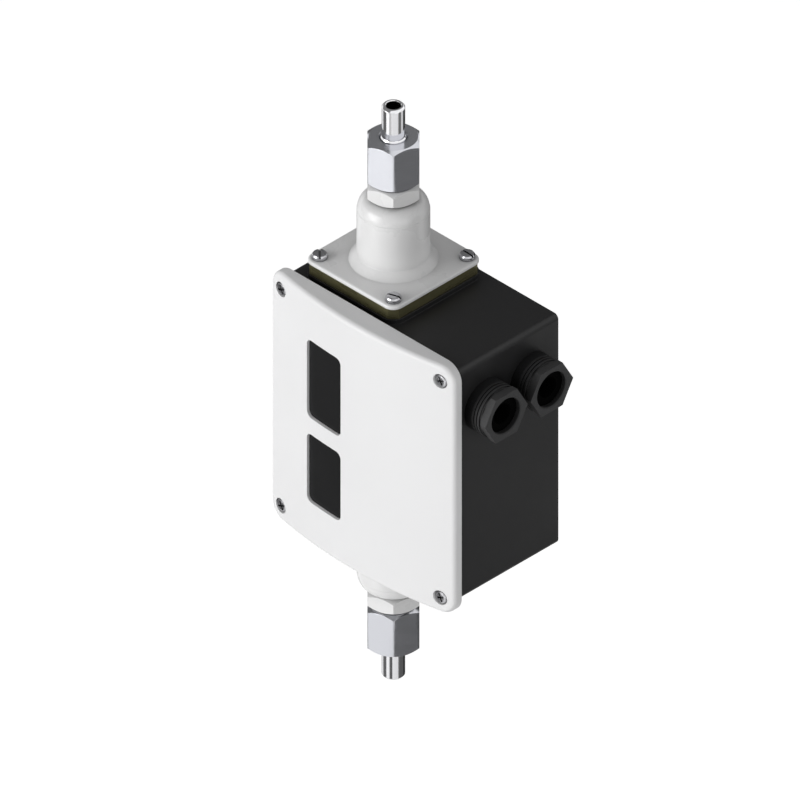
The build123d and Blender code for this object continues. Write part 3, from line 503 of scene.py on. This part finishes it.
# inside: spindle, bellows and mechanism
# Behind the cover a steel spindle joins the two brass bellows, with a lever of zinc-plated
# sheet beside it. The knurled alloy disc on the brass sleeve sets the main spring.
SPINDLE_STEEL = (0.6, 0.6, 0.62)
ZINC_SHEET = (0.58, 0.58, 0.55)
TURNED_BRASS = (0.62, 0.42, 0.16)
SPRING_STEEL = (0.3, 0.3, 0.32)
DISC_ALLOY = (0.66, 0.66, 0.67)
spindle_steel = finish_material(
    "spindle steel", SPINDLE_STEEL, roughness=0.2, metallic=1.0, grain=1500, grain_depth=0.00001,
    stretch=(1, 1, 10), drift=0.08
)
zinc_sheet = finish_material(
    "zinc sheet", ZINC_SHEET, roughness=0.36, metallic=1.0, grain=500, drift=0.18, drift_scale=120
)
turned_brass = finish_material(
    "turned brass", TURNED_BRASS, roughness=0.27, metallic=1.0, grain=1600, grain_depth=0.000012,
    stretch=(1, 1, 8)
)
spring_wire = finish_material(
    "spring wire", SPRING_STEEL, roughness=0.3, metallic=1.0, grain=1800, drift=0.15,
    drift_scale=140
)
disc_alloy = finish_material(
    "disc alloy", DISC_ALLOY, roughness=0.3, metallic=1.0, grain=1500, drift=0.08, drift_scale=160
)
dress(spindle_steel, "main_spindle", "arm_pivot_pin")
dress(zinc_sheet, "spring_seat", "sliding_plate", "mechanism_frame", "contact_arm")
dress(turned_brass, "guide_sleeve", "lower_guide_bush", "follower_nuts", "upper_bellows",
      "lower_bellows", "terminal_clamps", "earth_clamp")
dress(spring_wire, "arm_clip")
dress(disc_alloy, "setting_disc")

# inside: main spring
# A compression spring of square steel wire with ground ends, coiled round the sleeve. It is
# made in two lengths; its foot moves with the spindle and its head with the plate, but neither
# length is attached to them.
SPRING_FOOT = -0.001
SPRING_CUT = 0.003
SPRING_HEAD = 0.031
SPRING_RADIUS = 0.0104
SPRING_WIRE = 0.002
SPRING_WIRE_ROUND = 0.0002
SPRING_TURNS = 6
SPRING_STEPS = 56
spring_pitch = (SPRING_HEAD - SPRING_FOOT) / SPRING_TURNS
wire_turns = SPRING_TURNS + 1
for end, low, high, bodies in (("foot", SPRING_FOOT, SPRING_CUT, ("spindle", "root")),
                               ("head", SPRING_CUT, SPRING_HEAD, ("root", "spring_plate"))):
    coil = bmesh.new()
    start = Matrix.Translation((PORT.x + SPRING_RADIUS, PORT.y, SPRING_FOOT - spring_pitch / 2))
    bmesh.ops.create_grid(coil, x_segments=1, y_segments=1, size=SPRING_WIRE / 2,
                          matrix=start @ Matrix.Rotation(math.radians(90), 4, "X"))
    bmesh.ops.bevel(coil, geom=coil.verts[:], offset=SPRING_WIRE_ROUND, offset_type="OFFSET",
                    segments=2, profile=0.5, affect="VERTICES", material=-1)
    bmesh.ops.delete(coil, geom=coil.faces[:], context="FACES_ONLY")
    bmesh.ops.spin(coil, geom=coil.verts[:] + coil.edges[:], cent=PORT, axis=(0, 0, 1),
                   angle=math.tau * wire_turns, dvec=(0, 0, spring_pitch / SPRING_STEPS),
                   steps=wire_turns * SPRING_STEPS)
    for level, side in ((low, -1), (high, 1)):
        bmesh.ops.bisect_plane(coil, geom=coil.verts[:] + coil.edges[:] + coil.faces[:],
                               dist=MERGE_DISTANCE, plane_co=(0, 0, level),
                               plane_no=(0, 0, side), clear_outer=True)
        rim = [edge for edge in coil.edges if edge.is_boundary
               and all(abs(vert.co.z - level) < LEVEL_SLACK for vert in edge.verts)]
        bmesh.ops.holes_fill(coil, edges=rim, sides=0)
    bmesh.ops.recalc_face_normals(coil, faces=coil.faces)
    length = fit_piece("main_spring_" + end, coil, spring_wire, None, "main_spring")
    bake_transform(length)

# inside: switch block and scale
# The snap switch is a brown moulded block with three clamp terminals and a white plunger.
# The scale is a white painted strip in front of the setting disc.
BLOCK_BROWN = (0.075, 0.03, 0.016)
BLOCK_RUBBED = (0.14, 0.07, 0.04)
PLUNGER_WHITE = (0.7, 0.7, 0.67)
SCALE_PAINT = (0.78, 0.78, 0.74)
block_brown = finish_material(
    "block brown", BLOCK_BROWN, roughness=0.38, drift=0.2, worn=BLOCK_RUBBED
)
plunger_white = finish_material(
    "plunger white", PLUNGER_WHITE, roughness=0.4, grain=1200, drift=0.03
)
scale_paint = finish_material("scale paint", SCALE_PAINT, roughness=0.45, grain=800, drift=0.03)
dress(block_brown, "switch_block")
dress(plunger_white, "switch_plunger")
dress(scale_paint, "range_scale")

# inside: scale marks
# The scale's marks are printed on its paint: short black bars up the left side, every fifth
# one longer, and a black line that they stand on.
MARK_BLACK = (0.015, 0.015, 0.015)
MARK_COUNT = 25
MARK_GROUP = 5
MARK_PITCH = 0.0015
MARK_WIDTH = 0.00028
MARK_SHORT = 0.0024
MARK_LONG = 0.004
PRINT_THICK = 0.00004
SCALE_FRONT = -0.0465
SCALE_MIDDLE = 0.0309
SCALE_LINE = -0.0158
mark_black = finish_material("mark black", MARK_BLACK, roughness=0.5, grain=800, drift=0.02)
print_depth = SCALE_FRONT - PRINT_THICK / 2
marks = bmesh.new()
for step in range(MARK_COUNT):
    height = SCALE_MIDDLE + (step - (MARK_COUNT - 1) / 2) * MARK_PITCH
    length = MARK_LONG if step % MARK_GROUP == MARK_GROUP // 2 else MARK_SHORT
    mark_place = Matrix.Translation((SCALE_LINE + length / 2, print_depth, height))
    mark_size = Matrix.Diagonal((length, PRINT_THICK, MARK_WIDTH, 1))
    bmesh.ops.create_cube(marks, size=1, matrix=mark_place @ mark_size)
line_place = Matrix.Translation((SCALE_LINE, print_depth, SCALE_MIDDLE))
line_length = (MARK_COUNT - 1) * MARK_PITCH + MARK_WIDTH
line_size = Matrix.Diagonal((MARK_WIDTH, PRINT_THICK, line_length, 1))
bmesh.ops.create_cube(marks, size=1, matrix=line_place @ line_size)
scale_marks = make_object("scale_marks", marks, mark_black)
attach(scale_marks, "root")

# studio
# A pale paper floor that runs out to white, one broad lamp from the front left, a weak one
# from the right, and cards round the object that show only in its reflections.
FLOOR_HEIGHT = -0.5
FLOOR_HALF = 6
PAPER_WHITE = (0.86, 0.86, 0.86, 1)
PAPER_ROUGHNESS = 0.9
GLOW_SEEN = 0.66
GLOW_REFLECTED = 0.3
ROOM_WHITE = (1, 1, 1, 1)
ROOM_BELOW = 0.5
ROOM_ABOVE = 0.195
LAMP_AIM = (0, -0.03, 0)
CEILING = (-0.95, 0.25, 0.6)

paper = bpy.data.materials.new("pale paper")
paper.use_nodes = True
paper_nodes = paper.node_tree.nodes
paper_links = paper.node_tree.links
paper_shader = paper_nodes["Principled BSDF"]
paper_shader.inputs["Base Color"].default_value = PAPER_WHITE
paper_shader.inputs["Roughness"].default_value = PAPER_ROUGHNESS
glow = paper_nodes.new("ShaderNodeEmission")
rays = paper_nodes.new("ShaderNodeLightPath")
seen = paper_nodes.new("ShaderNodeMath")
seen.operation = "MULTIPLY"
seen.inputs[1].default_value = GLOW_SEEN
fill = paper_nodes.new("ShaderNodeMath")
fill.operation = "MULTIPLY_ADD"
fill.inputs[1].default_value = GLOW_REFLECTED
both = paper_nodes.new("ShaderNodeAddShader")
paper_links.new(rays.outputs["Is Camera Ray"], seen.inputs[0])
paper_links.new(rays.outputs["Is Glossy Ray"], fill.inputs[0])
paper_links.new(seen.outputs["Value"], fill.inputs[2])
paper_links.new(fill.outputs["Value"], glow.inputs["Strength"])
paper_links.new(paper_shader.outputs["BSDF"], both.inputs[0])
paper_links.new(glow.outputs["Emission"], both.inputs[1])
paper_links.new(both.outputs["Shader"], paper_nodes["Material Output"].inputs["Surface"])

sheet = bmesh.new()
bmesh.ops.create_grid(sheet, x_segments=1, y_segments=1, size=FLOOR_HALF)
floor = make_object("floor", sheet, paper)
floor.location.z = FLOOR_HEIGHT

world = bpy.data.worlds.new("soft room")
bpy.context.scene.world = world
world.use_nodes = True
room = world.node_tree.nodes
room_links = world.node_tree.links
room["Background"].inputs["Color"].default_value = ROOM_WHITE
room_rays = room.new("ShaderNodeLightPath")
room_seen = room.new("ShaderNodeMath")
room_seen.operation = "ADD"
room_glass = room.new("ShaderNodeMath")
room_glass.operation = "ADD"
room_glass.use_clamp = True
room_level = room.new("ShaderNodeMapRange")
room_level.inputs["To Max"].default_value = 1.0
room_way = room.new("ShaderNodeTexCoord")
room_up = room.new("ShaderNodeSeparateXYZ")
room_dim = room.new("ShaderNodeMapRange")
room_dim.inputs["To Min"].default_value = ROOM_BELOW
room_dim.inputs["To Max"].default_value = ROOM_ABOVE
room_links.new(room_way.outputs["Generated"], room_up.inputs["Vector"])
room_links.new(room_up.outputs["Z"], room_dim.inputs["Value"])
room_links.new(room_dim.outputs["Result"], room_level.inputs["To Min"])
room_links.new(room_rays.outputs["Is Camera Ray"], room_seen.inputs[0])
room_links.new(room_rays.outputs["Is Glossy Ray"], room_seen.inputs[1])
room_links.new(room_seen.outputs["Value"], room_glass.inputs[0])
room_links.new(room_rays.outputs["Is Transmission Ray"], room_glass.inputs[1])
room_links.new(room_glass.outputs["Value"], room_level.inputs["Value"])
room_links.new(room_level.outputs["Result"], room["Background"].inputs["Strength"])


def soft_box(name, place, width, height, watts):
    """A broad lamp that faces the object."""
    light = bpy.data.lights.new(name, "AREA")
    light.shape = "RECTANGLE"
    light.size = width
    light.size_y = height
    light.energy = watts
    holder = bpy.data.objects.new(name, light)
    holder.location = place
    way = Vector(LAMP_AIM) - Vector(place)
    holder.rotation_euler = way.to_track_quat("-Z", "Y").to_euler()
    bpy.context.scene.collection.objects.link(holder)


def reflected_card(name, place, width, height, level):
    """A grey card that shows only in reflections."""
    shade = bpy.data.materials.new(name)
    shade.use_nodes = True
    shade_nodes = shade.node_tree.nodes
    shade_nodes.remove(shade_nodes["Principled BSDF"])
    flat = shade_nodes.new("ShaderNodeEmission")
    flat.inputs["Color"].default_value = (level, level, level, 1)
    shade.node_tree.links.new(flat.outputs["Emission"],
                              shade_nodes["Material Output"].inputs["Surface"])
    face = bmesh.new()
    bmesh.ops.create_grid(face, x_segments=1, y_segments=1, size=0.5,
                          matrix=place @ Matrix.Diagonal((width, height, 1, 1)))
    card = make_object(name, face, shade)
    card.visible_camera = False
    card.visible_diffuse = False
    card.visible_shadow = False
    card.visible_transmission = False


def upright_card(name, heading, reach, spread, level, tall):
    """A card on the floor beside the object, at a heading and as wide as a spread, in degrees."""
    turn = Matrix.Rotation(math.radians(heading), 4, "Z")
    middle = Matrix.Translation((PORT.x, PORT.y, FLOOR_HEIGHT + tall / 2))
    place = middle @ turn @ Matrix.Translation((reach, 0, 0))
    wide = 2 * reach * math.tan(math.radians(spread / 2))
    reflected_card(name, place @ Matrix.Rotation(math.pi / 2, 4, "Y"), tall, wide, level)


soft_box("front left soft box", place=(-0.52, -1.35, 0.34), width=0.95, height=1.1, watts=14.5)
soft_box("right fill", place=(1.4, -0.35, 0.25), width=0.9, height=0.9, watts=2.9)
upright_card("right strip", heading=20, reach=0.36, spread=32, level=0.16, tall=0.65)
upright_card("rear right card", heading=86, reach=0.4, spread=46, level=0.03, tall=0.65)
upright_card("back card", heading=136, reach=0.46, spread=50, level=0.12, tall=0.72)
upright_card("left card", heading=-139, reach=0.42, spread=44, level=0.14, tall=0.65)
upright_card("front strip", heading=-76, reach=0.44, spread=22, level=0.6, tall=0.65)
upright_card("low front strip", heading=-68, reach=0.4, spread=26, level=0.12, tall=0.2)
upright_card("low right strip", heading=36, reach=0.34, spread=60, level=0.1, tall=0.2)
reflected_card("ceiling card", Matrix.Translation(CEILING), width=2.0, height=2.0, level=0.2)

# camera
# A parallel view from the front right and above, as in the photograph, wide enough for the
# object from one nipple's tip to the other.
VIEW_WIDTH = 0.33755
VIEW_TARGET = Vector((-0.014331, -0.028831, -0.0036))
VIEW_DISTANCE = 1.2
view_back = Vector((1, -1, 1)).normalized()
camera_data = bpy.data.cameras.new("camera")
camera_data.type = "ORTHO"
camera_data.ortho_scale = VIEW_WIDTH
camera = bpy.data.objects.new("camera", camera_data)
camera.location = VIEW_TARGET + view_back * VIEW_DISTANCE
camera.rotation_euler = (-view_back).to_track_quat("-Z", "Y").to_euler()
bpy.context.scene.collection.objects.link(camera)
bpy.context.scene.camera = camera
bpy.context.scene.view_settings.view_transform = "Standard"
